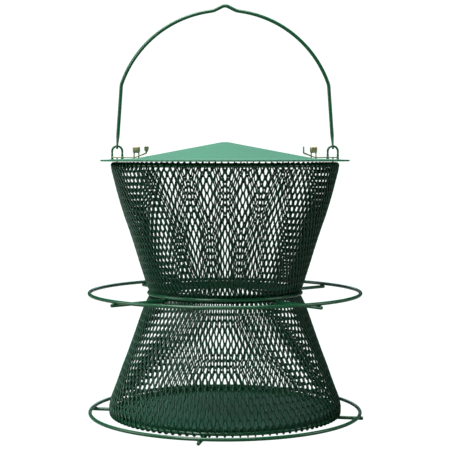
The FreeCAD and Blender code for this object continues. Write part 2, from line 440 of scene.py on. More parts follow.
def draw_wires(name: str, lines: Sequence[Sequence[Vector]], radius: float, closed: bool,
               roundness: int = 1) -> bpy.types.Object:
    """Draw round wires along lines of points, and make them one mesh.

    Args:
        name: The new piece's name.
        lines: The centre line of each wire.
        radius: The wires' radius.
        closed: Whether each wire closes on itself.
        roundness: Bevel resolution, 1 for six sides and 2 for eight.

    Returns:
        The wires as a mesh at the origin.
    """
    deselect_all()
    bpy.ops.curve.primitive_bezier_curve_add(location=(0, 0, 0))
    wires = bpy.context.object
    curve = wires.data
    curve.splines.clear()
    curve.dimensions = "3D"
    curve.twist_mode = "Z_UP"
    curve.bevel_depth = radius
    curve.bevel_resolution = roundness
    curve.use_fill_caps = not closed
    for line in lines:
        spline = curve.splines.new("POLY")
        spline.points.add(len(line) - 1)
        spline.points.foreach_set("co", [c for p in line for c in (*p, 1.0)])
        spline.use_cyclic_u = closed
        spline.use_smooth = True
    activate(wires)
    bpy.ops.object.convert(target="MESH")
    piece = bpy.context.object
    piece.name = name
    return piece


def add_block(name: str, low: Sequence[float], high: Sequence[float], bevel: float = 0.0,
              segments: int = 2) -> bpy.types.Object:
    """Add a block between two corners, with its edges eased.

    Args:
        name: The new piece's name.
        low: The lowest corner.
        high: The highest corner.
        bevel: How far the edges are eased.
        segments: How many runs each eased edge has.

    Returns:
        The block, with its place in its mesh.
    """
    deselect_all()
    middle = [(a + b) / 2 for a, b in zip(low, high)]
    bpy.ops.mesh.primitive_cube_add(size=1, location=middle)
    block = bpy.context.object
    block.name = name
    block.scale = [b - a for a, b in zip(low, high)]
    apply_place(block)
    if bevel:
        ease = block.modifiers.new("ease", "BEVEL")
        ease.width = bevel
        ease.segments = segments
        apply_modifiers(block)
    return block


def cut_away(piece: bpy.types.Object, cutters: Sequence[bpy.types.Object]) -> None:
    """Cut shapes out of a piece and delete them.

    Args:
        piece: The piece to cut.
        cutters: The closed shapes to take away.
    """
    cutter = join(cutters, "cutter")
    cut = piece.modifiers.new("cut", "BOOLEAN")
    cut.operation = "DIFFERENCE"
    cut.solver = "EXACT"
    cut.use_self = True
    cut.object = cutter
    apply_modifiers(piece)
    activate(cutter)
    bpy.ops.object.delete()


def mirror_piece(piece: bpy.types.Object) -> None:
    """Turn a piece into its mirror image across the feeder's middle.

    Args:
        piece: The piece, made on the right.
    """
    activate(piece)
    piece.scale = (-1, 1, 1)
    apply_place(piece)
    bpy.ops.object.mode_set(mode="EDIT")
    bpy.ops.mesh.select_all(action="SELECT")
    bpy.ops.mesh.normals_make_consistent(inside=False)
    bpy.ops.object.mode_set(mode="OBJECT")


# --- Wire hoops, rings and spokes -------------------------------------------


@dataclass
class HoopSize:
    """A ring of round wire about the feeder's axis, read from a CAD node."""

    node: str
    wire_r: float = field(init=False)
    ring_r: float = field(init=False)
    z: float = field(init=False)

    def __post_init__(self) -> None:
        """Read the sizes from the frame."""
        low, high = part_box(self.node)
        self.wire_r = (high.z - low.z) / 2
        self.ring_r = high.x - self.wire_r
        self.z = (high.z + low.z) / 2


@dataclass
class WireHoop:
    """A hoop bent from one length of wire, whose ends are butt welded and dressed."""

    name: str
    node: str
    body: Body
    finishes: Finishes
    weld_azimuth: float = 100.0
    weld_swell: float = 0.09
    weld_half_width: float = 2.4 * MM

    def build(self) -> HoopSize:
        """Model the hoop.

        Returns:
            The hoop's sizes, for what hangs on it.
        """
        size = HoopSize(self.node)
        deselect_all()
        bpy.ops.mesh.primitive_torus_add(major_radius=size.ring_r, minor_radius=size.wire_r,
                                         major_segments=288, minor_segments=16, location=(0, 0, size.z))
        hoop = bpy.context.object
        hoop.name = self.name
        apply_place(hoop)
        self.swell_weld(hoop, size)
        smooth(hoop, 60)
        settle(hoop, self.body, Slot.WIRE, self.finishes, self.node)
        return size

    def swell_weld(self, hoop: bpy.types.Object, size: HoopSize) -> None:
        """Thicken the wire slightly where its ends are welded.

        Args:
            hoop: The plain ring of wire.
            size: The hoop's sizes.
        """
        angle = math.radians(self.weld_azimuth)
        middle = Vector((math.cos(angle), math.sin(angle), 0)) * size.ring_r
        for vertex in hoop.data.vertices:
            flat = Vector((vertex.co.x, vertex.co.y, 0))
            core = flat.normalized() * size.ring_r
            reach = (core - middle).length / self.weld_half_width
            if reach < 2.5:
                core.z = size.z
                vertex.co = core + (vertex.co - core) * (1 + self.weld_swell * math.exp(-reach * reach))


@dataclass
class Spokes:
    """The short wires under a perch ring, each with resistance welds where it crosses a ring or hoop."""

    prefix: str
    body: Body
    finishes: Finishes
    crossings: Sequence[HoopSize]
    count: int = 4
    end_ease: float = 0.55 * MM
    weld_r: float = 1.35 * MM

    def build(self) -> None:
        """Model every spoke of the ring."""
        for number in range(1, self.count + 1):
            self.build_one(f"{self.prefix}_spoke_{number}")

    def build_one(self, node: str) -> None:
        """Model one spoke along its CAD node.

        Args:
            node: The CAD node of the spoke.
        """
        low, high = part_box(node)
        wire_r = (high.z - low.z) / 2
        middle = (low + high) / 2
        outward = Vector((middle.x, middle.y, 0)).normalized()
        azimuth = math.atan2(outward.y, outward.x)
        across = abs(math.sin(azimuth)) * wire_r * 2
        length = (high.x - low.x - across) / abs(math.cos(azimuth))
        deselect_all()
        bpy.ops.mesh.primitive_cylinder_add(vertices=20, radius=wire_r, depth=length, location=middle,
                                            rotation=(0, math.pi / 2, azimuth))
        wire = bpy.context.object
        apply_place(wire)
        ends = wire.modifiers.new("ends", "BEVEL")
        ends.width = self.end_ease
        ends.segments = 3
        ends.angle_limit = math.radians(60)
        apply_modifiers(wire)
        welds = [self.add_weld(outward, azimuth, crossing) for crossing in self.crossings]
        spoke = join([wire, *welds], f"{self.prefix}_spoke_wire_{node[-1]}")
        smooth(spoke, 50)
        settle(spoke, self.body, Slot.WIRE, self.finishes, node)

    def add_weld(self, outward: Vector, azimuth: float, crossing: HoopSize) -> bpy.types.Object:
        """Add the flattened nugget between a spoke and the wire above it.

        Args:
            outward: The spoke's direction from the axis.
            azimuth: The same direction as an angle.
            crossing: The ring or hoop that the spoke is welded to.

        Returns:
            The nugget.
        """
        place = outward * crossing.ring_r
        place.z = crossing.z - crossing.wire_r
        deselect_all()
        bpy.ops.mesh.primitive_uv_sphere_add(segments=16, ring_count=8, radius=self.weld_r, location=place,
                                             rotation=(0, 0, azimuth))
        weld = bpy.context.object
        weld.scale = (1.25, 1.25, 0.55)
        apply_place(weld)
        return weld


def settle(piece: bpy.types.Object, body: Body, slot: Slot, finishes: Finishes, *nodes: str) -> None:
    """Dress a finished piece, put it on its body, and hide the CAD nodes it stands for.

    Args:
        piece: The finished piece.
        body: The body it moves with.
        slot: The record's slot it takes its finish from.
        finishes: The feeder's finishes.
        nodes: The CAD nodes it replaces.
    """
    finishes.dress(piece, slot)
    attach(piece, body.value)
    if nodes:
        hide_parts(*nodes)
    log.info("%s: %d faces on %s", piece.name, len(piece.data.polygons), body.value)


# --- Netting ----------------------------------------------------------------


@dataclass
class NodeRing:
    """One level where two rows of netting hook into each other, or go round a hoop."""

    radius: float
    z: float
    hook: float
    out: tuple[float, float] = (1.0, 0.0)
    up: tuple[float, float] = (0.0, 1.0)


@dataclass
class NettingTier:
    """One tier of netting: rows of zigzag wire, each hooked into the next.

    At its wide end the last row goes round a hoop, and at the waist the rows end inside the waist hoop.
    """

    name: str
    node: str
    joint: str
    hoop: HoopSize
    hoop_body: Body
    fixed_body: Body
    waist: tuple[float, float]
    waypoints: Outline
    hoop_on_top: bool
    rows: int
    first_half_step: int
    finishes: Finishes
    columns: int = 100
    wire_r: float = 0.72 * MM
    hook_ease: float = 1.02
    bend_share: float = 0.26
    nesting: float = 5.6 * MM

    def build(self) -> None:
        """Model the tier as two runs of rows, and the end loops on its hoop."""
        rings = self.place_rings()
        hoop_row = 0 if self.hoop_on_top else self.rows - 1
        lines = {row: self.closed_row(rings, row) for row in range(self.rows) if row != hoop_row}
        half = self.rows // 2
        high = [line for row, line in lines.items() if row < half]
        low = [line for row, line in lines.items() if row >= half]
        hooks = self.open_row(rings, hoop_row)
        self.add_rows(f"{self.name}_netting_high", high, hooks if self.hoop_on_top else [])
        self.add_rows(f"{self.name}_netting_low", low, [] if self.hoop_on_top else hooks)
        self.add_loops(f"{self.name}_netting_hoop_loops", rings)

    def place_rings(self) -> list[NodeRing]:
        """Space the hooking levels so that every strand has the same length.

        Returns:
            The levels from the top of the tier to its bottom.
        """
        ends = [(self.hoop.ring_r, self.hoop.z), *self.waypoints, self.waist]
        line = [Vector(p) for p in (ends if self.hoop_on_top else reversed(ends))]
        lengths = [(b - a).length for a, b in zip(line, line[1:])]
        total = sum(lengths)

        def at(distance: float) -> Vector:
            """The point of the tier's line at a distance from its top."""
            for start, end, length in zip(line, line[1:], lengths):
                if distance <= length:
                    return start.lerp(end, distance / length)
                distance -= length
            return line[-1]

        def levels(strand: float) -> list[float]:
            """Where the hooking levels fall for one strand length, as distances from the top."""
            places = [0.0]
            for _ in range(self.rows):
                half_pitch = math.pi * at(places[-1]).x / self.columns
                places.append(places[-1] + math.sqrt(strand * strand - half_pitch * half_pitch))
            return places

        short, long = 4 * MM, 12 * MM
        for _ in range(40):
            strand = (short + long) / 2
            if levels(strand)[-1] < total:
                short = strand
            else:
                long = strand
        rings = []
        for place in levels(short):
            point = at(min(place, total))
            ahead = at(min(place + 3 * MM, total)) - at(max(place - 3 * MM, 0.0))
            up = -ahead.normalized()
            rings.append(NodeRing(point.x, point.y, self.wire_r * self.hook_ease, (up.y, -up.x), (up.x, up.y)))
        hoop_ring = rings[0] if self.hoop_on_top else rings[-1]
        hoop_ring.radius, hoop_ring.z = self.hoop.ring_r, self.hoop.z
        hoop_ring.hook = self.hoop.wire_r + self.wire_r
        hoop_ring.out, hoop_ring.up = (1.0, 0.0), (0.0, 1.0)
        log.info("%s netting: %d rows, strand %.2f mm", self.name, self.rows, short / MM)
        return rings

    def bend(self, ring: NodeRing, angle: float, top: bool, steps: int) -> list[Vector]:
        """The half turn that a wire makes round the wire it hooks.

        Args:
            ring: The level of the bend.
            angle: The bend's place round the feeder.
            top: Whether it is an upper bend, which runs from inside to outside.
            steps: How many runs the half turn has.

        Returns:
            The centre line of the bend.
        """
        half_width = self.bend_share * math.pi * ring.radius / self.columns
        sense = 1 if top else -1
        points = []
        for i in range(steps + 1):
            turn = math.pi * (i / steps - 0.5)
            depth = sense * ring.hook * math.sin(turn)
            rise = sense * ring.hook * math.cos(turn)
            radius = ring.radius + depth * ring.out[0] + rise * ring.up[0]
            z = ring.z + depth * ring.out[1] + rise * ring.up[1]
            around = angle + half_width * (turn / (math.pi / 2)) / ring.radius
            points.append(Vector((radius * math.cos(around), radius * math.sin(around), z)))
        return points

    def angle(self, half_steps: int) -> float:
        """The place of a bend round the feeder, counted in half columns."""
        return half_steps * math.pi / self.columns

    def closed_row(self, rings: Sequence[NodeRing], row: int) -> list[Vector]:
        """One zigzag wire all the way round, between two hooking levels.

        Args:
            rings: The hooking levels.
            row: The row's number from the top, from 0.

        Returns:
            The wire's centre line.
        """
        start = self.first_half_step + row
        line = []
        for column in range(self.columns):
            line += self.bend(rings[row], self.angle(start + 2 * column), True, 4)
            line += self.bend(rings[row + 1], self.angle(start + 2 * column + 1), False, 4)
        return line

    def open_row(self, rings: Sequence[NodeRing], row: int) -> list[list[Vector]]:
        """The row beside the hoop, as separate hooks that end where the hoop's loops begin.

        Args:
            rings: The hooking levels.
            row: The row's number from the top, from 0.

        Returns:
            The centre line of each hook.
        """
        near, far = (rings[row], rings[row + 1]) if self.hoop_on_top else (rings[row + 1], rings[row])
        start = self.first_half_step + row + (0 if self.hoop_on_top else 1)
        hooks = []
        for column in range(self.columns):
            first = self.angle(start + 2 * column)
            middle = self.angle(start + 2 * column + 1)
            last = self.angle(start + 2 * column + 2)
            hook = self.bend(near, first, self.hoop_on_top, 4)[-1:]
            hook += self.bend(far, middle, not self.hoop_on_top, 4)
            hook += self.bend(near, last, self.hoop_on_top, 4)[:1]
            hooks.append(hook)
        return hooks

    def add_rows(self, name: str, rows: Sequence[Sequence[Vector]],
                 hooks: Sequence[Sequence[Vector]]) -> None:
        """Make one run of rows as one piece, on the tier's fixed body.

        Args:
            name: The piece's name.
            rows: The closed rows.
            hooks: The separate hooks of the row beside the hoop, or none.
        """
        piece = draw_wires(name, rows, self.wire_r, closed=True)
        if hooks:
            piece = join([piece, draw_wires("hooks", hooks, self.wire_r, closed=False)], name)
        activate(piece)
        bpy.ops.object.shade_smooth()
        settle(piece, self.fixed_body, Slot.NETTING, self.finishes, self.node)
        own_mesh(piece)

    def add_loops(self, name: str, rings: Sequence[NodeRing]) -> None:
        """Make the loops that go round the hoop.

        Args:
            name: The piece's name.
            rings: The hooking levels.
        """
        level = 0 if self.hoop_on_top else self.rows
        start = self.first_half_step + level
        loops = [self.bend(rings[level], self.angle(start + 2 * column), self.hoop_on_top, 6)
                 for column in range(self.columns)]
        piece = draw_wires(name, loops, self.wire_r, closed=False)
        activate(piece)
        bpy.ops.object.shade_smooth()
        settle(piece, self.hoop_body, Slot.NETTING, self.finishes)


# --- Sheet metal ------------------------------------------------------------


@dataclass
class Tray:
    """The shallow pressed tray that closes the bottom, with its rim rolled inwards."""

    finishes: Finishes
    sheet: float = 0.7 * MM
    corner_r: float = 2.6 * MM
    roll: float = 1.2 * MM

    def build(self) -> None:
        """Model the tray as a pressing with a rolled rim."""
        low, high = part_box("base_tray")
        wall_r, floor_z, rim_z = high.x, low.z, high.z
        inner_r = wall_r - self.sheet
        roll_r = inner_r - self.roll + self.sheet
        outline = round_corners(
            [(0, floor_z), (wall_r, floor_z), (wall_r, rim_z), (roll_r, rim_z),
             (roll_r, rim_z - self.roll), (inner_r, rim_z - self.roll), (inner_r, floor_z + self.sheet),
             (0, floor_z + self.sheet)],
            [0, self.corner_r, 0.6 * MM, 0.24 * MM, 0.2 * MM, 0.2 * MM, self.corner_r - self.sheet, 0],
            steps=5, closed=True)
        tray = spin_outline("seed_tray", outline, steps=180)
        smooth(tray)
        settle(tray, Body.BASE, Slot.SHEET, self.finishes, "base_tray")


@dataclass
class Collar:
    """The sheet band inside the waist, turned over at both edges."""

    finishes: Finishes
    sheet: float = 0.7 * MM
    hem: float = 1.2 * MM

    def build(self) -> None:
        """Model the collar with its turned edges."""
        low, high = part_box("waist_collar")
        outer, inner = high.x, high.x - self.sheet
        turned = inner - self.sheet * 0.6
        outline = round_corners(
            [(outer, low.z), (outer, high.z), (turned, high.z), (turned, high.z - self.hem),
             (inner, high.z - self.hem), (inner, low.z + self.hem), (turned, low.z + self.hem),
             (turned, low.z)],
            [0.4 * MM, 0.4 * MM, 0.3 * MM, 0.15 * MM, 0.15 * MM, 0.15 * MM, 0.15 * MM, 0.3 * MM],
            steps=4, closed=True)
        collar = spin_outline("collar_band", outline, steps=144)
        smooth(collar)
        settle(collar, Body.WAIST, Slot.SHEET, self.finishes, "waist_collar")


@dataclass
class Lid:
    """The pressed lid: a shallow cone in a flange that droops to a hemmed edge, slotted for the latches."""

    finishes: Finishes
    sheet: float = 0.7 * MM
    cone_r: float = 81.0 * MM
    foot_z: float = 235.7 * MM
    hem_width: float = 2.4 * MM
    hem_t: float = 1.5 * MM
    crease_r: float = 3.0 * MM
    peak_r: float = 26.0 * MM
    slot_ends: tuple[float, float] = (84.66 * MM, 98.6 * MM)
    slot_half: float = 2.2 * MM

    def build(self) -> None:
        """Model the lid and cut its slots."""
        low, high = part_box("lid")
        rim_r, hem_z, peak_z = high.x, low.z, high.z
        hem_r, hem_top = rim_r - self.hem_width, hem_z + self.hem_t
        outline = round_corners(
            [(0, peak_z - self.sheet), (self.cone_r, self.foot_z - self.sheet), (hem_r, hem_top - self.sheet),
             (hem_r, hem_z), (rim_r, hem_z), (rim_r, hem_top), (hem_r, hem_top), (self.cone_r, self.foot_z),
             (0, peak_z)],
            [0, self.crease_r, 0.15 * MM, 0.5 * MM, 0.74 * MM, 0.74 * MM, 0, self.crease_r, 0],
            steps=5, closed=True)
        lid = spin_outline("lid_sheet", self.soften_peak(outline, peak_z), steps=216)
        cut_away(lid, self.slot_cutters())
        smooth(lid, 28)
        settle(lid, Body.COVER, Slot.SHEET, self.finishes, "lid")

    def soften_peak(self, outline: Outline, peak_z: float) -> list[tuple[float, float]]:
        """Round the cone's tip, which a press can't draw sharp.

        Args:
            outline: The lid's section, with its first and last points on the axis.
            peak_z: The height of the sharp tip.

        Returns:
            The section with a domed tip.
        """
        cone_top = outline[-2]
        slope = (peak_z - cone_top[1]) / cone_top[0]
        reach = self.peak_r * math.sin(math.atan(slope))
        dome = []
        for i in range(5):
            radius = reach * (1 - i / 4)
            sag = slope * reach / 2 * (1 + (radius / reach) ** 2)
            dome.append((radius, peak_z - sag))
        inner_dome = [(r, z - self.sheet) for r, z in reversed(dome)]
        return [*inner_dome, *outline[1:-1], *dome]

    def slot_cutters(self) -> list[bpy.types.Object]:
        """Make the shapes of the two slots that the latches reach down through.

        Returns:
            The closed shapes to cut away.
        """
        latch_low, latch_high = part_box("latch_right")
        middle_y = (latch_low.y + latch_high.y) / 2
        front, back = middle_y - self.slot_half, middle_y + self.slot_half
        cutters = []
        for side in Side:
            ends = sorted(side.value * end for end in self.slot_ends)
            cutters.append(add_block("slot", (ends[0], front, self.foot_z - 5 * MM),
                                     (ends[1], back, self.foot_z + 3 * MM), 0.6 * MM))
        return cutters


# --- Lid fittings -----------------------------------------------------------


@dataclass
class Loop:
    """An upside-down U of wire through the lid, peened below it."""

    side: Side
    finishes: Finishes
    wire_r: float = 1.0 * MM
    leg_spacing: float = 9.2 * MM
    head_r: float = 1.8 * MM
    flange_foot: tuple[float, float] = (81.0 * MM, 235.7 * MM)
    flange_slope: float = 1.2 / 29.6

    def build(self) -> None:
        """Model the loop, its peened ends and the paint that pools round its feet."""
        node = f"loop_{self.side.name.lower()}"
        low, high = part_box(node)
        middle_x = (low.x + high.x) / 2
        half = self.leg_spacing / 2
        arch_z = high.z - self.wire_r - half
        arch = arc_points((middle_x, arch_z), half, 180, 0, 14)
        line = [(middle_x - half, low.z + 0.3 * MM), (middle_x - half, arch_z - 3 * MM), *arch,
                (middle_x + half, arch_z - 3 * MM), (middle_x + half, low.z + 0.3 * MM)]
        wire = draw_wires("loop_wire", [[Vector((x, 0, z)) for x, z in line]], self.wire_r, False, 4)
        feet = []
        for x in (middle_x - half, middle_x + half):
            top_z = self.flange_foot[1] - self.flange_slope * (abs(x) - self.flange_foot[0])
            feet.append(self.add_washer(x, top_z - 1.05 * MM, self.head_r, 0.6 * MM))
            feet.append(self.add_washer(x, top_z + 0.15 * MM, self.wire_r * 1.5, 0.6 * MM))
        loop = join([wire, *feet], f"bail_loop_{self.side.name.lower()}")
        smooth(loop, 45)
        settle(loop, Body.COVER, Slot.WIRE, self.finishes, node)

    def add_washer(self, x: float, z: float, radius: float, height: float) -> bpy.types.Object:
        """Add a low round boss with eased edges about a leg.

        Args:
            x: The leg's distance from the middle.
            z: The height of the boss's middle.
            radius: The boss's radius.
            height: The boss's height.

        Returns:
            The boss.
        """
        deselect_all()
        bpy.ops.mesh.primitive_cylinder_add(vertices=24, radius=radius, depth=height, location=(x, 0, z))
        boss = bpy.context.object
        apply_place(boss)
        ease = boss.modifiers.new("ease", "BEVEL")
        ease.width = height * 0.35
        ease.segments = 3
        ease.angle_limit = math.radians(50)
        apply_modifiers(boss)
        return boss


@dataclass
class Bail:
    """The wire handle: straight legs, one big arc with a small peak, and flattened, pierced ends."""

    finishes: Finishes
    wire_r: float = 1.6 * MM
    arc_r: float = 99.4 * MM
    arc_z: float = 270.0 * MM
    arc_start: float = 20.0
    arc_end: float = 82.5
    kink_x: float = 94.0 * MM
    kink_z: float = 302.3 * MM
    shoulder_x: float = 10.4 * MM
    flat_z: float = 258.0 * MM
    eye_t: float = 1.8 * MM
    eye_r: float = 2.7 * MM
    hole_r: float = 1.45 * MM

    def build(self) -> None:
        """Model the bail from its centre line, then flatten and pierce its ends."""
        top_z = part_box("bail")[1].z
        loop_low, loop_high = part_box("loop_right")
        eye_x, eye_z = (loop_low.x + loop_high.x) / 2, loop_high.z - 1.0 * MM
        line = self.centre_line(eye_x, eye_z, top_z)
        bail = draw_wires("bail_wire", [[Vector((x, 0, z)) for x, z in line]], self.wire_r, False, 6)
        for side in Side:
            self.flatten_end(bail, side.value, eye_x, eye_z)
        self.pierce(bail, eye_x, eye_z)
        smooth(bail, 50)
        settle(bail, Body.HANDLE, Slot.WIRE, self.finishes, "bail")

    def centre_line(self, eye_x: float, eye_z: float, top_z: float) -> list[tuple[float, float]]:
        """The bail's centre line from the right eye over to the left one.

        Args:
            eye_x: The eye's distance from the middle.
            eye_z: The eye's height.
            top_z: The top of the wire at the peak.

        Returns:
            The points of the line.
        """
        start, end = math.radians(self.arc_start), math.radians(self.arc_end)
        corner_r = self.arc_r / math.cos((end - start) / 2)
        corner = (corner_r * math.cos((start + end) / 2),
                  self.arc_z + corner_r * math.sin((start + end) / 2))
        end_x = self.arc_r * math.cos(end)
        end_z = self.arc_z + self.arc_r * math.sin(end)
        shoulder_z = end_z + (end_x - self.shoulder_x) / math.tan(end)
        peak_z = top_z - self.wire_r + 0.73 * MM
        lean = Vector((self.kink_x - eye_x, self.kink_z - eye_z)).normalized()
        foot = Vector((eye_x, eye_z))
        leg = [tuple(foot + lean * (step * 0.45 * MM)) for step in range(-6, 36)]
        half = [(self.kink_x, self.kink_z), corner, (self.shoulder_x, shoulder_z)]
        left = [(-x, z) for x, z in reversed([leg[-1], *half])]
        radii = [12 * MM, self.arc_r, 15 * MM]
        corners = [leg[-1], *half, (0.0, peak_z), *left]
        rounded = round_corners(corners, [*radii, 6 * MM, *reversed(radii)], steps=20)
        return [*leg[:-1], *rounded, *[(-x, z) for x, z in reversed(leg[:-1])]]

    def flatten_end(self, bail: bpy.types.Object, sign: int, eye_x: float, eye_z: float) -> None:
        """Press one end flat and round it off, as a hammer and a punch do.

        Args:
            bail: The round wire.
            sign: 1 for the right end and -1 for the left one.
            eye_x: The eye's distance from the middle.
            eye_z: The eye's height.
        """
        lean = Vector((self.kink_x - eye_x, 0, self.kink_z - eye_z)).normalized()
        lean.x *= sign
        across = Vector((lean.z, 0, -lean.x))
        eye = Vector((sign * eye_x, 0, eye_z))
        for vertex in bail.data.vertices:
            if vertex.co.x * sign < 0 or vertex.co.z > self.flat_z:
                continue
            offset = vertex.co - eye
            along, depth, width = offset.dot(lean), offset.dot(across), offset.y
            share = min(1.0, max(0.0, 1 - along / (self.flat_z - eye_z)))
            share = share * share * (3 - 2 * share)
            thin = 1 + (self.eye_t / 2 / self.wire_r - 1) * share
            wide = 1 + (self.eye_r / self.wire_r - 1) * share
            if along < 0:
                reach = max(0.0, 1 - (along / self.eye_r) ** 2)
                wide *= math.sqrt(reach)
            vertex.co = eye + lean * along + across * (depth * thin) + Vector((0, width * wide, 0))

    def pierce(self, bail: bpy.types.Object, eye_x: float, eye_z: float) -> None:
        """Punch the hole through each flattened end.

        Args:
            bail: The wire, with its ends flattened.
            eye_x: The eyes' distance from the middle.
            eye_z: The eyes' height.
        """
        punches = []
        for side in Side:
            deselect_all()
            bpy.ops.mesh.primitive_cylinder_add(vertices=28, radius=self.hole_r, depth=12 * MM,
                                                location=(side.value * eye_x, 0, eye_z),
                                                rotation=(0, math.pi / 2, 0))
            punch = bpy.context.object
            apply_place(punch)
            punches.append(punch)
        cut_away(bail, punches)


@dataclass
class Keeper:
    """The block on two legs that holds a latch's bars down on the lid."""

    side: Side
    finishes: Finishes
    block_height: float = 5.8 * MM
    leg_t: float = 1.0 * MM
    leg_width: float = 2.6 * MM
    leg_inset: float = 0.6 * MM
    clinch: float = 1.4 * MM

    def build(self) -> None:
        """Model the keeper on the right, and mirror it for the left."""
        node = f"keeper_{self.side.name.lower()}"
        low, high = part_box("keeper_right")
        middle_y = (low.y + high.y) / 2
        block_z = high.z - self.block_height
        block = add_block("block", (low.x, low.y, block_z), (high.x, high.y, high.z), 1.1 * MM, 4)
        front, back = middle_y - self.leg_width / 2, middle_y + self.leg_width / 2
        parts = [block]
        for start, turn in ((low.x + self.leg_inset, 1), (high.x - self.leg_inset - self.leg_t, -1)):
            parts.append(add_block("leg", (start, front, low.z), (start + self.leg_t, back, block_z + MM),
                                   0.22 * MM))
            foot = sorted((start + self.leg_t / 2, start + self.leg_t / 2 + turn * (self.clinch + MM / 2)))
            parts.append(add_block("foot", (foot[0], front, low.z), (foot[1], back, low.z + 0.9 * MM),
                                   0.22 * MM))
        keeper = join(parts, f"latch_keeper_{self.side.name.lower()}")
        if self.side is Side.LEFT:
            mirror_piece(keeper)
        smooth(keeper, 40)
        settle(keeper, Body.COVER, Slot.ZINC, self.finishes, node)


@dataclass
class Latch:
    """A slotted strip that slides under its keeper, with a finger tab and a hooked end."""

    side: Side
    finishes: Finishes
    strip_t: float = 1.0 * MM
    bend_x: float = 81.2 * MM
    tab_rise: float = 4.0 * MM
    tab_height: float = 6.4 * MM
    slot_x: tuple[float, float] = (76.6 * MM, 96.9 * MM)
    slot_width: float = 3.6 * MM
    step_width: float = 3.4 * MM
    step_x: float = 98.1 * MM
    tongue_x: float = 99.9 * MM
    left_twist: float = 26.0

    def build(self) -> None:
        """Model the latch on the right, and mirror it for the left."""
        low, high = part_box("latch_right")
        middle_y = (low.y + high.y) / 2
        strip_z = high.z - self.tab_rise - self.tab_height
        strip = self.bend_strip(low, high, strip_z)
        slot = add_block("slot", (self.slot_x[0], middle_y - self.slot_width / 2, strip_z - MM),
                         (self.slot_x[1], middle_y + self.slot_width / 2, strip_z + 5 * MM), 0.5 * MM, 3)
        cut_away(strip, [slot])
        ease = strip.modifiers.new("ease", "BEVEL")
        ease.width = 0.16 * MM
        ease.segments = 2
        ease.angle_limit = math.radians(30)
        apply_modifiers(strip)
        front, back = middle_y - self.step_width / 2, middle_y + self.step_width / 2
        step_in = self.step_x - self.strip_t
        step = add_block("step", (step_in, front, low.z), (self.step_x, back, strip_z + self.strip_t * 0.9),
                         0.2 * MM)
        tongue = add_block("tongue", (step_in, front, low.z), (self.tongue_x, back, low.z + self.strip_t),
                           0.2 * MM)
        latch = join([strip, step, tongue], f"sliding_latch_{self.side.name.lower()}")
        if self.side is Side.LEFT:
            self.twist_tab(latch, Vector((low.x + self.strip_t / 2, middle_y, strip_z + self.tab_rise)))
            mirror_piece(latch)
        smooth(latch, 40)
        body = Body.LATCH_RIGHT if self.side is Side.RIGHT else Body.LATCH_LEFT
        settle(latch, body, Slot.ZINC, self.finishes, f"latch_{self.side.name.lower()}")

    def bend_strip(self, low: Vector, high: Vector, strip_z: float) -> bpy.types.Object:
        """Draw the strip's section, fill it, and push it out to its width.

        Args:
            low: The latch's lowest corner.
            high: The latch's highest corner.
            strip_z: The underside of the strip on the lid.

        Returns:
            The bent strip.
        """
        top_z = strip_z + self.strip_t
        tab_z = strip_z + self.tab_rise
        tab_x = low.x
        outline = round_corners(
            [(high.x, strip_z), (high.x, top_z), (self.bend_x - 0.2 * MM, top_z),
             (tab_x + self.strip_t, tab_z + self.strip_t),
             *self.tab_face(tab_x + self.strip_t, tab_z, high.z), (tab_x + self.strip_t, high.z),
             (tab_x, high.z), *reversed(self.tab_face(tab_x, tab_z, high.z)), (tab_x, tab_z),
             (self.bend_x, strip_z)],
            [0, 0, 1.2 * MM, 0.5 * MM, *[0] * 8, 1.4 * MM, 2.2 * MM], steps=4, closed=True)
        points = [Vector((x, low.y, z)) for x, z in outline]
        strip = draw_line("strip", points + points[:1], closed=False)
        bpy.ops.mesh.remove_doubles(threshold=0.002 * MM)
        bpy.ops.mesh.select_all(action="SELECT")
        bpy.ops.mesh.edge_face_add()
        bpy.ops.mesh.extrude_region_move(TRANSFORM_OT_translate={"value": (0, high.y - low.y, 0)})
        bpy.ops.mesh.select_all(action="SELECT")
        bpy.ops.mesh.normals_make_consistent(inside=False)
        bpy.ops.object.mode_set(mode="OBJECT")
        return strip

    def tab_face(self, x: float, tab_z: float, top_z: float) -> list[tuple[float, float]]:
        """Points up one face of the tab, where its outline gets vertices for the twist."""
        return [(x, tab_z + (top_z - tab_z) * share) for share in (0.4, 0.6, 0.8)]

    def twist_tab(self, latch: bpy.types.Object, root: Vector) -> None:
        """Turn the tab a little about its own height, as fingers have left it.

        Args:
            latch: The latch, before it is mirrored.
            root: The foot of the tab.
        """
        for vertex in latch.data.vertices:
            if vertex.co.z < root.z + 1.5 * MM:
                continue
            share = (vertex.co.z - root.z) / self.tab_height
            turn = Matrix.Rotation(math.radians(self.left_twist) * min(1.0, share * 1.6), 3, "Z")
            vertex.co = root + turn @ (vertex.co - root)


# --- Stage ------------------------------------------------------------------


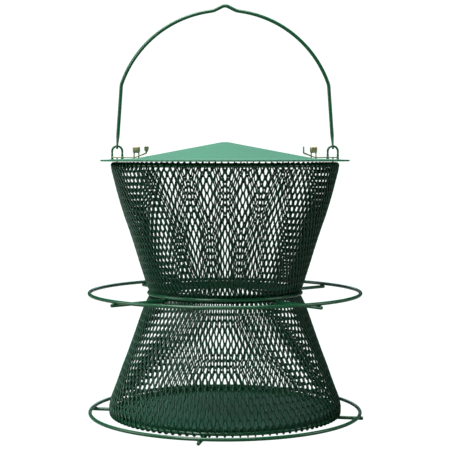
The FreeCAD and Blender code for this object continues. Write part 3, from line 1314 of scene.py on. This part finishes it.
@dataclass
class Studio:
    """A white sweep, soft lights and the camera."""

    centre: Vector
    camera_distance: float = 1.150
    camera_z: float = 0.236
    aim_z: float = 0.175
    lens: float = 101.0
    paper: str = "f6fffb"
    paper_glow: float = 1.12
    bounce: str = "8a8a8a"

    def build(self) -> None:
        """Set up the floor, the lights, the world and the camera."""
        self.add_floor()
        self.add_world()
        self.add_light("top_softbox", (-0.2, -0.1, 1.5), 1.1, 34.0)
        self.add_light("back_softbox", (0.0, 1.9, 1.2), 1.15, 8.0, "d2e6ff")
        self.add_light("left_softbox", (-1.35, -0.2, 0.55), 0.8, 5.0)
        self.add_light("right_softbox", (1.35, -0.3, 0.5), 0.7, 3.0)
        self.add_light("key_lamp", (-0.8, -1.25, 1.0), 0.5, 8.0)
        self.add_camera()

    def add_floor(self) -> None:
        """A paper sweep, burnt out to white behind the feeder, that throws only a little light back."""
        deselect_all()
        outline = round_corners([(-5.0, 0.0), (3.5, 0.0), (3.5, 5.0)], [1.6], steps=24)
        draw_line("white_sweep", [Vector((-6.0, y, z)) for y, z in outline], closed=False)
        bpy.ops.mesh.extrude_region_move(TRANSFORM_OT_translate={"value": (12.0, 0, 0)})
        bpy.ops.object.mode_set(mode="OBJECT")
        sweep = bpy.context.object
        activate(sweep)
        bpy.ops.object.shade_smooth()
        material = bpy.data.materials.new("white_paper")
        material.use_nodes = True
        tree = material.node_tree
        tree.nodes.clear()
        seen = add_node(tree, "ShaderNodeLightPath").outputs["Is Camera Ray"]
        glow = add_node(tree, "ShaderNodeEmission",
                        values={"Color": linear_colour(self.paper), "Strength": self.paper_glow})
        dull = add_node(tree, "ShaderNodeBsdfDiffuse", values={"Color": linear_colour(self.bounce)})
        surface = add_node(tree, "ShaderNodeMixShader",
                           links={0: seen, 1: dull.outputs["BSDF"], 2: glow.outputs["Emission"]})
        add_node(tree, "ShaderNodeOutputMaterial", links={"Surface": surface.outputs["Shader"]})
        sweep.data.materials.append(material)

    def add_world(self) -> None:
        """A room that is bright behind the feeder and dim behind the camera."""
        scene = bpy.context.scene
        scene.view_settings.view_transform = "Standard"
        world = scene.world or bpy.data.worlds.new("white_room")
        scene.world = world
        world.use_nodes = True
        tree = world.node_tree
        tree.nodes.clear()
        direction = add_node(tree, "ShaderNodeTexCoord").outputs["Generated"]
        parts = add_node(tree, "ShaderNodeSeparateXYZ", links={"Vector": direction})
        strength = add_node(tree, "ShaderNodeMapRange", settings={"interpolation_type": "SMOOTHSTEP"},
                            values={"From Min": -0.3, "From Max": 0.7, "To Min": 0.02, "To Max": 0.35},
                            links={"Value": parts.outputs["Y"]})
        background = add_node(tree, "ShaderNodeBackground", values={"Color": (1, 1, 1, 1)},
                              links={"Strength": strength.outputs["Result"]})
        add_node(tree, "ShaderNodeOutputWorld", links={"Surface": background.outputs["Background"]})

    def add_light(self, name: str, place: tuple[float, float, float], size: float, power: float,
                  colour: str = "ffffff") -> None:
        """Add a square softbox that faces the feeder.

        Args:
            name: The light's name.
            place: Where it stands.
            size: The length of its sides, in metres.
            power: Its power, in watts.
            colour: Its colour as six hex digits.
        """
        deselect_all()
        bpy.ops.object.light_add(type="AREA", location=place)
        lamp = bpy.context.object
        lamp.name = name
        lamp.data.shape = "SQUARE"
        lamp.data.size = size
        lamp.data.energy = power
        lamp.data.color = linear_colour(colour)[:3]
        lamp.rotation_euler = (self.centre - Vector(place)).to_track_quat("-Z", "Y").to_euler()

    def add_camera(self) -> None:
        """Put the camera level with the lid, a little over a metre away."""
        place = Vector((0, -self.camera_distance, self.camera_z))
        aim = Vector((0, 0, self.aim_z))
        deselect_all()
        bpy.ops.object.camera_add(location=place)
        camera = bpy.context.object
        camera.rotation_euler = (aim - place).to_track_quat("-Z", "Y").to_euler()
        camera.data.lens = self.lens
        camera.data.sensor_width = 36
        bpy.context.scene.camera = camera


# --- The feeder -------------------------------------------------------------


def main() -> None:
    """Build the feeder from its base up, then its studio."""
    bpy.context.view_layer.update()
    finishes = Finishes()

    base_hoop = WireHoop("base_hoop_wire", "base_hoop", Body.BASE, finishes, 200).build()
    lower_ring = WireHoop("lower_ring_wire", "lower_perch_ring", Body.BASE, finishes, 118).build()
    Spokes("lower", Body.BASE, finishes, [base_hoop, lower_ring]).build()
    Tray(finishes).build()

    waist_hoop = WireHoop("waist_hoop_wire", "waist_hoop", Body.WAIST, finishes, 15).build()
    upper_ring = WireHoop("upper_ring_wire", "upper_perch_ring", Body.WAIST, finishes, 72).build()
    Spokes("upper", Body.WAIST, finishes, [waist_hoop, upper_ring]).build()
    Collar(finishes).build()

    rim_hoop = WireHoop("rim_hoop_wire", "rim_hoop", Body.RIM, finishes, 160).build()
    waist_line = (66.6 * MM, waist_hoop.z)
    lower_line = [(104.8 * MM, 9.5 * MM), (103.8 * MM, 16.0 * MM), (99.9 * MM, 25.9 * MM),
                  (95.9 * MM, 36.8 * MM), (92.1 * MM, 47.7 * MM), (87.8 * MM, 58.6 * MM),
                  (83.9 * MM, 69.5 * MM), (80.0 * MM, 80.4 * MM), (76.3 * MM, 91.3 * MM),
                  (72.3 * MM, 102.2 * MM), (69.0 * MM, 108.6 * MM), (67.2 * MM, 111.2 * MM)]
    upper_line = [(102.0 * MM, 226.5 * MM), (99.5 * MM, 216.8 * MM), (96.8 * MM, 205.9 * MM),
                  (93.7 * MM, 195.0 * MM), (90.3 * MM, 184.0 * MM), (86.4 * MM, 173.0 * MM),
                  (82.8 * MM, 162.0 * MM), (79.4 * MM, 151.0 * MM), (76.1 * MM, 140.0 * MM),
                  (72.7 * MM, 129.5 * MM), (70.4 * MM, 121.5 * MM), (68.4 * MM, 117.2 * MM)]
    NettingTier("lower", "lower_netting", "lower_collapse", base_hoop, Body.BASE, Body.BASE,
                waist_line, lower_line, False, 18, 0, finishes).build()
    NettingTier("upper", "upper_netting", "upper_collapse", rim_hoop, Body.RIM, Body.WAIST,
                waist_line, upper_line, True, 20, 1, finishes).build()

    Lid(finishes).build()
    for side in Side:
        Loop(side, finishes).build()
        Keeper(side, finishes).build()
        Latch(side, finishes).build()
    Bail(finishes).build()

    Studio(Vector((0, 0, 0.18))).build()


if __name__ == "__main__":
    main()
